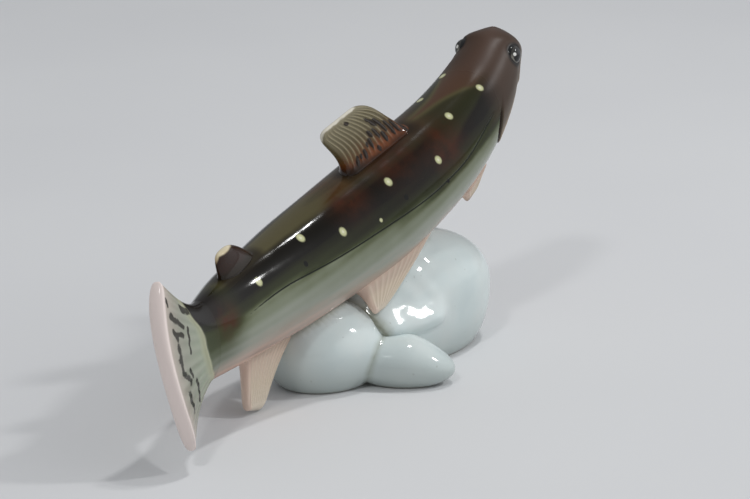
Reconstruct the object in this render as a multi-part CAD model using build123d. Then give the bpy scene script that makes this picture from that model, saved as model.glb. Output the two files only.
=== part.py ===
from build123d import *
import os
from math import comb, copysign, cos, radians, sin, sqrt

# A glazed porcelain trout that leaps over three stones, in millimetres.
# The fish heads along +X, its left side is +Y, +Z is up, and the stones stand on z 0.
# Body and stones are slip castings, hollow with a thin wall, and the fins and eyes are luted on.

# Spine of the fish: control points of a Bezier curve from the tail's rear edge to the snout
SPINE_TAIL = Vector(-89, -6.5, 24)
SPINE_PEDUNCLE = Vector(-38, 16, 20)
SPINE_MIDDLE = Vector(-6, 2, 36)
SPINE_SHOULDER = Vector(36, -15, 50)
SPINE_SNOUT = Vector(51.2, -7.9, 79.4)
ROLL_AT_TAIL = -3
ROLL_AT_SNOUT = 6

# Body sections, placed by their distance back from the snout along the spine
GIRTH_AT = 62
GIRTH_HALF_WIDTH = 13
GIRTH_BACK = 14.6
GIRTH_BELLY = 15.5
TAIL_ROOT_AT = 136
TAIL_ROOT_HALF_WIDTH = 5
TAIL_ROOT_BACK = 11.2
TAIL_ROOT_BELLY = 9.3
HEAD_TAPER = 1.5
HEAD_WIDTH_POWER = 0.285
HEAD_DEPTH_POWER = 0.42
REAR_WIDTH_POWER = 2.2
REAR_DEPTH_POWER = 1.6
BODY_WALL = 3.5
CAVITY_NOSE_AT = 8
SNOUT_FLAT_AT = 0.15
SNOUT_ROUND = 5

# Tail fin, a fan from the body's end to its thick rear edge, whose sections grow blunt towards it
TAIL_SPAN_ABOVE = 28.4
TAIL_SPAN_BELOW = 22.5
TAIL_HALF_THICKNESS = 1.7
TAIL_TWIST = 12
TAIL_FLARE_ABOVE = 1.9
TAIL_FLARE_BELOW = 1.4
TAIL_THINNING_POWER = 0.8
TAIL_BLUNTING = 0.5
TAIL_REAR_RADIUS = 40

# Fins: roots and tips by distance back from the snout, heights off the skin
FIN_ROOT_SINK = 3
FIN_CORNER_POWER = 8
FIN_CORNER_SHARE = 0.33
DORSAL_ROOT_FRONT = 45.5
DORSAL_ROOT_REAR = 69
DORSAL_TIP_FRONT = 55
DORSAL_TIP_REAR = 76
DORSAL_HEIGHT = 14.4
DORSAL_REAR_NOTCH = 1.5
DORSAL_ROOT_THICKNESS = 3.6
DORSAL_EDGE_THICKNESS = 1.5
ADIPOSE_ROOT_FRONT = 109
ADIPOSE_ROOT_REAR = 123
ADIPOSE_TIP_FRONT = 115
ADIPOSE_TIP_REAR = 127
ADIPOSE_HEIGHT = 6.6
ADIPOSE_CORNER_POWER = 2.2
ADIPOSE_CORNER_SHARE = 0.45
ADIPOSE_ROOT_THICKNESS = 3
ADIPOSE_EDGE_THICKNESS = 2.4
ANAL_ROOT_FRONT = 98
ANAL_ROOT_REAR = 117.5
ANAL_TIP_FRONT = 115
ANAL_TIP_REAR = 122
ANAL_HEIGHT = 12.8
ANAL_FRONT_REACH = 1.12
ANAL_FRONT_NOTCH = 1.4
ANAL_SPLAY = 10
ANAL_ROOT_THICKNESS = 3.4
ANAL_EDGE_THICKNESS = 2.4
PELVIC_ROOT_FRONT = 55
PELVIC_ROOT_REAR = 80
PELVIC_TIP_FRONT = 77
PELVIC_TIP_REAR = 81.5
PELVIC_HEIGHT = 7
PELVIC_ROOT_ANGLE = -58
PELVIC_SPLAY_ANGLE = -45
PELVIC_ROOT_THICKNESS = 3.2
PELVIC_EDGE_THICKNESS = 2
PECTORAL_ROOT_FRONT = 31.5
PECTORAL_ROOT_REAR = 40.5
PECTORAL_TIP_FRONT = 37.5
PECTORAL_TIP_REAR = 40.8
PECTORAL_HEIGHT = 2.5
PECTORAL_ROOT_ANGLE = -62
PECTORAL_SPLAY_ANGLE = -72
PECTORAL_ROOT_THICKNESS = 2.8
PECTORAL_EDGE_THICKNESS = 1.8

# Eyes: beads on the sides of the head
EYE_AT = 7.5
EYE_ANGLE = 20
EYE_RADIUS = 2.8
EYE_SINK = 1.9

# Stones: half lengths along and across, turn about Z, the offset of each from its seat under the fish,
# the share of its height at which it is widest and the share of its width left at its foot
LARGE_AT = 58
LARGE_SHIFT = Vector(3, 0, 0)
LARGE_HALF_LENGTH = 26.5
LARGE_HALF_WIDTH = 14.5
LARGE_TURN = -11
LARGE_SEAT_SINK = 2.5
LARGE_WIDEST_AT = 0.48
LARGE_FOOT = 0.82
MIDDLE_AT = 88
MIDDLE_SHIFT = Vector(0, -1.6, 0)
MIDDLE_HALF_LENGTH = 16
MIDDLE_HALF_WIDTH = 13
MIDDLE_TURN = -20
MIDDLE_SEAT_SINK = 1.5
MIDDLE_WIDEST_AT = 0.45
MIDDLE_FOOT = 0.8
PEBBLE_SHIFT = Vector(-23, -12, 0)
PEBBLE_HALF_LENGTH = 13.5
PEBBLE_HALF_WIDTH = 8
PEBBLE_TURN = -62
PEBBLE_HEIGHT = 12
PEBBLE_WIDEST_AT = 0.4
PEBBLE_FOOT = 0.72
STONE_WALL = 3.5
SOLE_TRIM = 0.2
VENT_RADIUS = 1.5

# Counts of sections in the lofts and of steps along the spine
BODY_SECTIONS = 14
TAIL_SHARES = (0, 0.25, 0.5, 0.75, 1)
SPINE_STEPS = 400
FIN_RUNGS = (0.3, 0.6, 0.85, 0.96, 1)
BLUNT_TURNS = (0, 20, 40, 60, 76, 90, 104, 120, 140, 160, 180)
RIGHT = 1
LEFT = -1

SPINE = [SPINE_TAIL, SPINE_PEDUNCLE, SPINE_MIDDLE, SPINE_SHOULDER, SPINE_SNOUT]
SPINE_LEGS = [after - before for before, after in zip(SPINE, SPINE[1:])]


def bezier(points, share):
    """Point of the Bezier curve with these control points."""
    degree = len(points) - 1
    place = Vector(0, 0, 0)
    for k, point in enumerate(points):
        place += point * (comb(degree, k) * share**k * (1 - share) ** (degree - k))
    return place


def spine_distances():
    """Distance back from the snout at even steps of the spine's parameter, snout first."""
    places = [bezier(SPINE, 1 - i / SPINE_STEPS) for i in range(SPINE_STEPS + 1)]
    distances = [0.0]
    for before, after in zip(places, places[1:]):
        distances.append(distances[-1] + (after - before).length)
    return distances


DISTANCES = spine_distances()
SPINE_LENGTH = DISTANCES[-1]


def frame_at(distance):
    """Plane square to the spine: x to the fish's right, y to its back."""
    step = 0
    while step < SPINE_STEPS - 1 and DISTANCES[step + 1] < distance:
        step += 1
    part = (distance - DISTANCES[step]) / (DISTANCES[step + 1] - DISTANCES[step])
    share = 1 - (step + part) / SPINE_STEPS
    heading = bezier(SPINE_LEGS, share).normalized()
    level = heading.cross(Vector(0, 0, 1)).normalized()
    upward = level.cross(heading)
    roll = radians(ROLL_AT_SNOUT + (ROLL_AT_TAIL - ROLL_AT_SNOUT) * distance / SPINE_LENGTH)
    return Plane(bezier(SPINE, share), x_dir=level * cos(roll) - upward * sin(roll), z_dir=-heading)


def radii_at(distance):
    """Half width, height of the back and depth of the belly at a distance from the snout."""
    if distance < GIRTH_AT:
        rise = 1 - (1 - distance / GIRTH_AT) ** HEAD_TAPER
        depth = rise**HEAD_DEPTH_POWER
        rounding = sqrt(1 - max(1 - distance / SNOUT_ROUND, 0) ** 2)
        width = GIRTH_HALF_WIDTH * rise**HEAD_WIDTH_POWER * rounding
        return width, GIRTH_BACK * depth * sqrt(rounding), GIRTH_BELLY * depth * sqrt(rounding)
    along = (distance - GIRTH_AT) / (TAIL_ROOT_AT - GIRTH_AT)
    narrowing = along**REAR_WIDTH_POWER
    shallowing = along**REAR_DEPTH_POWER
    width = GIRTH_HALF_WIDTH + (TAIL_ROOT_HALF_WIDTH - GIRTH_HALF_WIDTH) * narrowing
    back = GIRTH_BACK + (TAIL_ROOT_BACK - GIRTH_BACK) * shallowing
    belly = GIRTH_BELLY + (TAIL_ROOT_BELLY - GIRTH_BELLY) * shallowing
    return width, back, belly


def oval(half_width, above, below):
    """Face of two half ellipses that share their width."""
    upper = EllipticalCenterArc((0, 0), half_width, above, 0, arc_size=180)
    lower = EllipticalCenterArc((0, 0), half_width, below, 180, arc_size=180)
    return make_face([upper, lower])


def skin_point(distance, angle):
    """Point on the skin; angle 0 is the right side, 90 the back and -90 the belly."""
    width, back, belly = radii_at(distance)
    height = back if sin(radians(angle)) > 0 else belly
    return frame_at(distance).from_local_coords((width * cos(radians(angle)), height * sin(radians(angle))))


def body_solid(front, rear, grow):
    """Body between two distances from the snout, with its skin moved out by grow."""
    sections = []
    for i in range(BODY_SECTIONS):
        distance = front + (rear - front) * (i / (BODY_SECTIONS - 1)) ** HEAD_TAPER
        width, back, belly = radii_at(distance)
        sections.append(frame_at(distance) * oval(width + grow, back + grow, belly + grow))
    return loft(sections)


def blunt_oval(half_width, above, below, blunting):
    """Face like an oval whose ends are blunter, the more so the larger blunting is."""
    halves = []
    for first, height in ((0, above), (180, below)):
        places = []
        for turn in BLUNT_TURNS:
            angle = radians(first + turn)
            reach = copysign(abs(cos(angle)) ** (1 - blunting), cos(angle))
            places.append((half_width * reach, height * sin(angle)))
        upward = 1 if first == 0 else -1
        halves.append(Spline(places, tangents=[(0, upward), (0, -upward)]))
    return make_face(halves)


def fin(
    root_angle, splay_angle, side, root, tip, height, thickness,
    notch=(0, 0), front_reach=1, corner_power=FIN_CORNER_POWER, corner_share=FIN_CORNER_SHARE,
):
    """Plate that stands on the skin; root and tip are (front, rear), thickness is (root, edge)."""
    rungs = []
    for share in (-FIN_ROOT_SINK / height, *FIN_RUNGS):
        sweep = max(share, 0)
        corner = (1 - sqrt(1 - sweep**corner_power)) * (tip[1] - tip[0] - thickness[1]) * corner_share
        hollow = 4 * sweep * (1 - sweep)
        front = root[0] + (tip[0] - root[0]) * sweep + corner + notch[0] * hollow
        rear = root[1] + (tip[1] - root[1]) * sweep - corner - notch[1] * hollow
        ends = []
        for distance, reach in ((front, front_reach), (rear, 1)):
            frame = frame_at(distance)
            outward = frame.x_dir * side * cos(radians(splay_angle)) + frame.y_dir * sin(radians(splay_angle))
            base = skin_point(distance, root_angle if side == RIGHT else 180 - root_angle)
            ends.append(base + outward * height * share * reach)
        chord = ends[0] - ends[1]
        thick = thickness[0] + (thickness[1] - thickness[0]) * sweep
        square = outward - chord * (outward.dot(chord) / chord.length**2)
        plane = Plane((ends[0] + ends[1]) / 2, x_dir=chord, z_dir=square)
        rungs.append(plane * SlotOverall(chord.length, thick))
    return loft(rungs)


def tail_solid():
    """Fan that grows tall and thin from the body's end, with its rear edge cut to an arc."""
    sections = []
    for share in TAIL_SHARES:
        thinning = share**TAIL_THINNING_POWER
        width = TAIL_ROOT_HALF_WIDTH + (TAIL_HALF_THICKNESS - TAIL_ROOT_HALF_WIDTH) * thinning
        above = TAIL_ROOT_BACK + (TAIL_SPAN_ABOVE - TAIL_ROOT_BACK) * share**TAIL_FLARE_ABOVE
        below = TAIL_ROOT_BELLY + (TAIL_SPAN_BELOW - TAIL_ROOT_BELLY) * share**TAIL_FLARE_BELOW
        face = oval(width, above, below)
        if share > 0:
            face = blunt_oval(width, above, below, TAIL_BLUNTING * share)
        plane = frame_at(TAIL_ROOT_AT + (SPINE_LENGTH - TAIL_ROOT_AT) * share)
        sections.append(plane * Rot(0, 0, TAIL_TWIST * share) * face)
    rear = frame_at(SPINE_LENGTH).rotated((0, 0, TAIL_TWIST))
    arc_centre = rear.origin - rear.z_dir * TAIL_REAR_RADIUS
    arc = Plane(arc_centre, z_dir=rear.x_dir) * Cylinder(TAIL_REAR_RADIUS, 4 * TAIL_SPAN_ABOVE)
    return loft(sections) & arc


def stone_solid(centre, half_length, half_width, turn, height, widest_at, foot, grow):
    """Egg that stands on a flat foot, with its skin moved out by grow."""
    top = height + grow
    waist = height * widest_at
    base = max(-grow, 0)
    low = base - SOLE_TRIM
    crown = EllipticalCenterArc((0, waist), 1, top - waist, 0, arc_size=90)
    flank = Bezier((1, waist), (1, (waist + low) / 2), (foot, low))
    axis = Line((0, top), (0, low))
    sole = Line((0, low), (foot, low))
    egg = revolve(Plane.XZ * make_face([crown, axis, sole, flank]), Axis.Z)
    wide = scale(egg, by=(half_length + grow, half_width + grow, 1))
    trimmed = split(wide, Plane.XY.offset(base), keep=Keep.TOP)
    return Pos(centre.X, centre.Y, 0) * Rot(0, 0, turn) * trimmed


def eye(side):
    """Ball sunk into the side of the head."""
    socket = skin_point(EYE_AT, EYE_ANGLE if side == RIGHT else 180 - EYE_ANGLE)
    outward = (socket - frame_at(EYE_AT).origin).normalized()
    return Plane(socket - outward * EYE_SINK, z_dir=outward) * Sphere(EYE_RADIUS)


def vent(place, length):
    """Upright round hole for the casting's slip and air, from below place to above it."""
    return Pos(place.X, place.Y, place.Z) * Cylinder(VENT_RADIUS, length)


# The fish's body and its hollow, and the space that the stones' hollows keep from it
body = body_solid(SNOUT_FLAT_AT, TAIL_ROOT_AT, 0)
body_hollow = body_solid(CAVITY_NOSE_AT, TAIL_ROOT_AT - BODY_WALL, -BODY_WALL)
body_cleared = body_solid(SNOUT_FLAT_AT, TAIL_ROOT_AT, STONE_WALL)

# Stones under the belly: centre, half length, half width, turn, height, widest share and foot share
large_seat = skin_point(LARGE_AT, -90)
middle_seat = skin_point(MIDDLE_AT, -90)
large_centre = large_seat + LARGE_SHIFT
middle_centre = middle_seat + MIDDLE_SHIFT
pebble_centre = large_centre + PEBBLE_SHIFT
large_height = large_seat.Z + LARGE_SEAT_SINK
middle_height = middle_seat.Z + MIDDLE_SEAT_SINK
stones = {
    "large_boulder": (
        large_centre, LARGE_HALF_LENGTH, LARGE_HALF_WIDTH, LARGE_TURN,
        large_height, LARGE_WIDEST_AT, LARGE_FOOT,
    ),
    "middle_boulder": (
        middle_centre, MIDDLE_HALF_LENGTH, MIDDLE_HALF_WIDTH, MIDDLE_TURN,
        middle_height, MIDDLE_WIDEST_AT, MIDDLE_FOOT,
    ),
    "front_pebble": (
        pebble_centre, PEBBLE_HALF_LENGTH, PEBBLE_HALF_WIDTH, PEBBLE_TURN,
        PEBBLE_HEIGHT, PEBBLE_WIDEST_AT, PEBBLE_FOOT,
    ),
}

# Each stone is cut by the body and by the stones before it, and is vented at its foot
parts = {}
neighbours = [body]
cleared = [body_cleared]
belly_vent = vent(large_seat, 4 * BODY_WALL)
for name, form in stones.items():
    stone = stone_solid(*form, 0)
    hollow = stone_solid(*form, -STONE_WALL) - cleared
    foot = Vector(form[0].X, form[0].Y, 0)
    parts[name] = stone - neighbours - hollow - vent(foot, 4 * STONE_WALL)
    neighbours.append(stone)
    cleared.append(stone_solid(*form, STONE_WALL))
parts["large_boulder"] -= belly_vent

parts["body_shell"] = body - body_hollow - belly_vent
parts["tail_fin"] = tail_solid()

# Fins and eyes, cut by the body and the stones so that they seat on them face to face
luted = {}
luted["dorsal_fin"] = fin(
    90, 90, RIGHT,
    (DORSAL_ROOT_FRONT, DORSAL_ROOT_REAR), (DORSAL_TIP_FRONT, DORSAL_TIP_REAR),
    DORSAL_HEIGHT, (DORSAL_ROOT_THICKNESS, DORSAL_EDGE_THICKNESS), notch=(0, DORSAL_REAR_NOTCH),
)
luted["adipose_fin"] = fin(
    90, 90, RIGHT,
    (ADIPOSE_ROOT_FRONT, ADIPOSE_ROOT_REAR), (ADIPOSE_TIP_FRONT, ADIPOSE_TIP_REAR),
    ADIPOSE_HEIGHT, (ADIPOSE_ROOT_THICKNESS, ADIPOSE_EDGE_THICKNESS),
    corner_power=ADIPOSE_CORNER_POWER, corner_share=ADIPOSE_CORNER_SHARE,
)
luted["anal_fin"] = fin(
    -90, ANAL_SPLAY - 90, RIGHT,
    (ANAL_ROOT_FRONT, ANAL_ROOT_REAR), (ANAL_TIP_FRONT, ANAL_TIP_REAR),
    ANAL_HEIGHT, (ANAL_ROOT_THICKNESS, ANAL_EDGE_THICKNESS),
    notch=(ANAL_FRONT_NOTCH, 0), front_reach=ANAL_FRONT_REACH,
)
for side, word in ((LEFT, "left"), (RIGHT, "right")):
    luted[f"{word}_pelvic_fin"] = fin(
        PELVIC_ROOT_ANGLE, PELVIC_SPLAY_ANGLE, side,
        (PELVIC_ROOT_FRONT, PELVIC_ROOT_REAR), (PELVIC_TIP_FRONT, PELVIC_TIP_REAR),
        PELVIC_HEIGHT, (PELVIC_ROOT_THICKNESS, PELVIC_EDGE_THICKNESS),
    )
    luted[f"{word}_pectoral_fin"] = fin(
        PECTORAL_ROOT_ANGLE, PECTORAL_SPLAY_ANGLE, side,
        (PECTORAL_ROOT_FRONT, PECTORAL_ROOT_REAR), (PECTORAL_TIP_FRONT, PECTORAL_TIP_REAR),
        PECTORAL_HEIGHT, (PECTORAL_ROOT_THICKNESS, PECTORAL_EDGE_THICKNESS),
    )
    luted[f"{word}_eye"] = eye(side)
for name, shape in luted.items():
    parts[name] = (shape - neighbours).solids().sort_by(SortBy.VOLUME)[-1]

os.makedirs("parts", exist_ok=True)
for name, shape in parts.items():
    export_step(shape, f"parts/{name}.step")
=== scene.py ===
import math

import bmesh
import bpy
import numpy as np
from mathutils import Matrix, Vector
from mathutils.kdtree import KDTree


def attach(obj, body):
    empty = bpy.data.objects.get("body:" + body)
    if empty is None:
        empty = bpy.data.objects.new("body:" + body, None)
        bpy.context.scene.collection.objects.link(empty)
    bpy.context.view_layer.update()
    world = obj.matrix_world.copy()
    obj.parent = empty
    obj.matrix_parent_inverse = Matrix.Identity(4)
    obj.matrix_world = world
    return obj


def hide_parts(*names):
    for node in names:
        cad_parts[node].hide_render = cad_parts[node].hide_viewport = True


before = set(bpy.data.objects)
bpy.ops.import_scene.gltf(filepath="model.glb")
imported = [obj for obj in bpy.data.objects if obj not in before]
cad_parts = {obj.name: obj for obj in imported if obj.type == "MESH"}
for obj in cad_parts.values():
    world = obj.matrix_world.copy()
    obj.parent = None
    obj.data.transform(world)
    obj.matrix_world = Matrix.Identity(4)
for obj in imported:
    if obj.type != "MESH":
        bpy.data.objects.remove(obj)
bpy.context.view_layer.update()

# A glazed porcelain trout that leaps over three stones.
# Sizes are in millimetres, in the frame of the solids, and become metres when a mesh is made.
# The fish heads along +X, its left side is +Y, +Z is up, and the stones stand on z 0.

METRES = 0.001

# Spine: control points of a Bezier curve from the tail's rear edge to the snout, and its roll in degrees
SPINE = np.array([(-89, -6.5, 24), (-38, 16, 20), (-6, 2, 36), (36, -15, 50), (51.2, -7.9, 79.4)], float)
SPINE_STEPS = 2000
ROLL_AT_TAIL = -3
ROLL_AT_SNOUT = 6

# Body sections, placed by their distance back from the snout along the spine
GIRTH_AT = 62
GIRTH_HALF_WIDTH = 13
GIRTH_BACK = 14.6
GIRTH_BELLY = 15.5
TAIL_ROOT_AT = 136
TAIL_ROOT_HALF_WIDTH = 5
TAIL_ROOT_BACK = 11.2
TAIL_ROOT_BELLY = 9.3
HEAD_TAPER = 1.5
HEAD_WIDTH_POWER = 0.285
HEAD_DEPTH_POWER = 0.42
REAR_WIDTH_POWER = 2.2
REAR_DEPTH_POWER = 1.6
SNOUT_ROUND = 5
BODY_ROWS = 400
BODY_COLUMNS = 340
HEAD_ROW_POWER = 1.8

# Relief of the skin; pairs tell where a feature starts or ends
LINE_DEPTH = 0.28
LINE_HALF_WIDTH = 0.32
LINE_SPAN = ((24, 28), (112, 128))
GILL_RISE = 0.4
GILL_EDGE = 0.25
GILL_SWELL_LENGTH = 8
GILL_SWELL_STARTS = (6, 16)
GILL_SWELL_TOP = (-5, 25)
GILL_GROOVE_TOP = (-6, 14)
GILL_GROOVE_DEPTH = 0.45
GILL_GROOVE_HALF_WIDTH = 0.38
MOUTH_DROP = 1.6
MOUTH_SLOPE = 0.3
MOUTH_CORNER = (11, 13)
MOUTH_DEPTH = 0.8
MOUTH_HALF_WIDTH = 0.4
LIP_RISE = 0.4
LIP_WIDTH = 1.3
SNOUT_FULLNESS = 0.85
SNOUT_FULL_AT = 4
SNOUT_FULL_REACH = 2.9
SOCKET_RIM_RADIUS = 2.9
SOCKET_RIM_WIDTH = 0.5
SOCKET_RIM_RISE = 0.08
WAVE_HEIGHT = 0.1
WAVE_SPAN = ((20, 40), (120, 136))
# Slow waves of the skin as (mm along per radian, turns round)
SKIN_WAVES = ((4.3, 2), (6.1, -3))

# Lateral line and gill edge as (distance, angle) on the side; angle 0 is level, 90 the back, -90 the belly
LATERAL_LINE = ((22, 17), (27, 14), (34, 8), (39, 3.5), (48, 4), (54, 5), (65, 9), (77, 13), (92, 17.5),
                (105, 23), (110, 24), (120, 21), (127.5, 16), (133, 6), (136, 4))
GILL_EDGE_LINE = ((16, 60), (17, 40), (19.2, 17), (21, 12), (24, -3), (26, -16), (27, -39), (25, -60),
                  (19, -90))
LINE_ROUNDING = 4
GILL_ROUNDING = 5
# Edge of the pale flank: its drop at the head and its rise at the rear, as shares of the way to the back
PALE_DROP = 0.16
PALE_DROP_ENDS = (24, 40)
PALE_RISE = 0.05
PALE_RISE_STARTS = (60, 105)

# Painted marks as (distance, angle, radius)
RIGHT_SPOTS = ((22, 53, 0.8), (35, 58, 0.85), (47, 30, 0.85), (63, 47, 0.9), (83.5, 36, 0.9), (95, 59, 0.95),
               (115.5, 47, 0.9), (71.5, 21, 0.45))
LEFT_SPOTS = ((21.5, 60, 0.9), (33, 66, 0.9), (48, 33, 0.85), (61, 50, 0.9), (77, 30, 0.9), (90, 56, 0.95),
              (104, 40, 0.85), (118, 50, 0.9))
SPOT_STRETCH = 1.3
RIGHT_DOTS = ((61.5, 23, 0.6), (99, 32, 0.6), (47.7, 4, 0.5))
LEFT_DOTS = ((56, 21, 0.6), (96, 31, 0.6))
RUST_PATCHES = ((43, 40, 6), (57, 74, 7), (131.5, 25, 3.6), (76, 62, 5))
# Upper and lower edges of the shoulder's painted reflection, a dark olive patch, as (distance, angle)
SHOULDER_TOP = ((19, 44), (21, 55), (24, 68), (28.6, 77), (32.7, 83), (46, 90))
SHOULDER_LOW = ((19, 50), (23, 45), (28, 41), (34, 37), (38, 31), (50, 26))
SHOULDER_ROUNDING = 1.5
SHOULDER_TOP_BLUR = (-1, 5)
SHOULDER_LOW_BLUR = (-2, 5)
SHOULDER_ENDS = (36, 48)
# Painted sheen: a lighter olive line along the top of the painted reflection
SHOULDER_SHEEN_AT = 1
SHOULDER_SHEEN_WIDTH = 4
SHOULDER_SHEEN_SPAN = ((21, 25), (40, 50))
# Brown hood of the head: blur of its edge behind the gill, above and below a height
HOOD_UPPER_BLUR = (-2, 9)
HOOD_LOWER_BLUR = (-0.4, 0.4)
HOOD_CHANGE = (0, 0.12)
# Where the paint of the tail's root and the olive of the rear back set in
ROOT_STARTS = (122, 134)
REAR_BACK_STARTS = (62, 84)
# Brush marks as (radians per degree round, radians per mm along, start)
BRUSH_WAVES = ((0.21, 0.045, 0), (0.37, -0.03, 1.7), (0.53, 0.06, 4.1))
# Distances for points far from any mark or off the line, and the least divisor
FAR = 99.0
OFF_LINE = 9
LEAST_SHARE = 0.02

# Tail fin, a fan from the body's end to its thick rear edge, whose sections grow blunt towards it
TAIL_SPAN_ABOVE = 28.4
TAIL_SPAN_BELOW = 22.5
TAIL_HALF_THICKNESS = 1.7
TAIL_TWIST = 12
TAIL_FLARE_ABOVE = 1.9
TAIL_FLARE_BELOW = 1.4
TAIL_THINNING_POWER = 0.8
TAIL_ROOT_EASE = 0.15
TAIL_BLUNTING = 0.5
TAIL_REAR_RADIUS = 40
TAIL_REAR_TRIES = 60
TAIL_REAR_STEP = 0.4
TAIL_EDGE_BULGE = 0.7
TAIL_EDGE_PAINT = (0.93, 1.0)
TAIL_SEWN_WITHIN = 0.02
TAIL_ROWS = 120
TAIL_CAP_ROWS = 10
TAIL_RAYS = 17
TAIL_RAY_RELIEF = 0.12
TAIL_RAYS_START = (0.02, 0.15)
TAIL_RAYS_END = (0.88, 0.97)
# Body and tail run on inside each other at their seam: depths, and how fast each draws in
TUCKS = (0.4, 0.8, 1.2)
TUCK_SLOPE = 0.3
TUCK_SHRINK = 0.045
# Lip where the body's paint ends on the tail, as (angle round the tail, share of the way back)
TAIL_LIP = ((-60, 0.02), (-24, 0.2), (7, 0.29), (22, 0.29), (34, 0.33), (42, 0.41), (60, 0.48))
TAIL_LIP_ROUNDING = 5
TAIL_LIP_RISE = 0.3
TAIL_LIP_WIDTH = 0.03
TAIL_LIP_STARTS = (0, 0.08)
TAIL_LIP_FACES = (0.3, 0.7)
# Dark dashes on the tail's faces as (share, height) of both ends and half width
TAIL_DASHES = (
    (0.80, 17.2, 0.80, 15.4, 0.4), (0.79, 13.0, 0.70, 11.0, 0.75), (0.56, 13.6, 0.45, 11.6, 0.7),
    (0.78, 8.3, 0.66, 7.6, 0.6), (0.81, 9.4, 0.77, 7.2, 0.6), (0.54, 8.2, 0.58, 2.6, 0.4),
    (0.785, 5.3, 0.81, 2.2, 0.8), (0.80, 1.4, 0.82, -0.8, 0.6), (0.79, -1.2, 0.69, -3.3, 0.7),
    (0.53, -4.2, 0.51, -9.1, 0.5), (0.76, -6.0, 0.71, -9.6, 0.75), (0.68, 10.6, 0.62, 9.0, 0.5),
    (0.66, -0.6, 0.62, -2.6, 0.4),
)

# Fins: roots and tips by distance from the snout, heights off the skin, paint by shares up and back
FIN_ROOT_SINK = 3
FIN_CORNER_POWER = 8
FIN_CORNER_SHARE = 0.33
FIN_ROWS = 110
FIN_COLUMNS = 170
FIN_FILLET = 1.3
FIN_FILLET_LENGTH = 1.6
FIN_FILLET_SWELL = 0.7
FIN_RIM_ROUND = 0.97
FIN_RIM_LEAN = 2
FIN_RAY_LEVEL = 0.4
FIN_RAYS_UP = ((0.02, 0.15), (0.84, 0.96))
FIN_RAYS_BACK = ((0.02, 0.08), (0.9, 0.97))
FIN_STREAK_START = np.array((-0.1, 0.08))
FIN_STREAK_END = np.array((-0.16, 0.08))
FIN_TINT_UP = (0.55, 0.9)
FIN_TINT_BACK = (0.3, 0.8)
DORSAL = {
    "root": (45.5, 69), "tip": (55, 76), "height": 14.4, "thickness": (3.6, 1.5), "root_angle": 90,
    "splay_angle": 90, "rays": 14, "ray_rise": 0.2, "bow": 0.1, "notch": (0, 1.5),
    "streaks": (
        (0.07, 0.02, 0.36), (0.14, 0.06, 0.46), (0.21, 0.1, 0.52), (0.28, 0.24, 0.64), (0.34, 0.44, 0.76),
        (0.35, 0.1, 0.36), (0.42, 0.2, 0.54), (0.5, 0.32, 0.56), (0.5, 0.04, 0.2), (0.57, 0.14, 0.4),
        (0.64, 0.22, 0.36), (0.71, 0.06, 0.3), (0.78, 0.12, 0.26), (0.85, 0.03, 0.24),
    ),
    "dots": ((0.5, 0.86, 0.65),),
}
ADIPOSE = {
    "root": (109, 123), "tip": (115, 127), "height": 6.6, "thickness": (3, 2.4), "root_angle": 90,
    "splay_angle": 90, "rays": 5, "ray_rise": 0.0, "bow": 0, "corner_power": 2.2, "corner_share": 0.45,
    "lens": True,
}
ANAL = {
    "root": (98, 117.5), "tip": (115, 122), "height": 12.8, "thickness": (3.4, 2.4), "root_angle": -90,
    "splay_angle": -80, "rays": 11, "ray_rise": 0.14, "bow": 0.03, "notch": (1.4, 0), "front_reach": 1.12,
}
PELVIC = {
    "root": (55, 80), "tip": (77, 81.5), "height": 7, "thickness": (3.2, 2), "root_angle": -58,
    "splay_angle": -45, "rays": 10, "ray_rise": 0.06, "bow": 0,
}
PECTORAL = {
    "root": (31.5, 40.5), "tip": (37.5, 40.8), "height": 2.5, "thickness": (2.8, 1.8), "root_angle": -62,
    "splay_angle": -72, "rays": 7, "ray_rise": 0.1, "bow": 0, "tip_tint": 1,
}

# Eyes: beads on the sides of the head, built up by the angle from the way that they look
EYE_AT = 7.5
EYE_ANGLE = 20
EYE_RADIUS = 2.8
EYE_SINK = 1.5
EYE_ROWS = 40
EYE_COLUMNS = 64
EYE_TURNS = (0.5, 105)
# Way to the painted highlight, a white glint painted on the bead: outwards, towards the snout and towards the
# crown
EYE_PAINTED_HIGHLIGHT = (0.84, -0.17, 0.51)

# Stones: the seat's place along the fish and how far the fish sinks in, or the height; the shift from the
# seat or from the large boulder, half lengths along and across, turn about Z, the share of the height at
# which the stone is widest and the share of its width left at its foot
LARGE = {
    "at": 58, "sink": 2.5, "shift": (3, 0, 0), "half": (26.5, 14.5),
    "turn": -11, "widest_at": 0.48, "foot": 0.82,
}
MIDDLE = {
    "at": 88, "sink": 1.5, "shift": (0, -1.6, 0), "half": (16, 13),
    "turn": -20, "widest_at": 0.45, "foot": 0.8,
}
PEBBLE = {
    "height": 12, "shift": (-23, -12, 0), "half": (13.5, 8), "turn": -62, "widest_at": 0.4, "foot": 0.72,
}
PEBBLE_TAPER = 0.2
PEBBLE_TAPER_STARTS = (0.1, 1)
STONE_CROWN_GAP = 0.006
STONE_CROWN_ROWS = 70
STONE_FLANK_ROWS = 50
STONE_COLUMNS = 240
STONE_FILLET = 1.4
STONE_FILLET_REACH = 1.8
STONE_FOOT_ROUND = 0.8
STONE_FOOT_FADE = (0.2, 4)
# Low lumps of the stones, as waves in radians per mm
STONE_LUMPS = 0.25
STONE_WAVES = ((1 / 5, 0, 1 / 7), (0, 1 / 4.3, -1 / 6))
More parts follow.
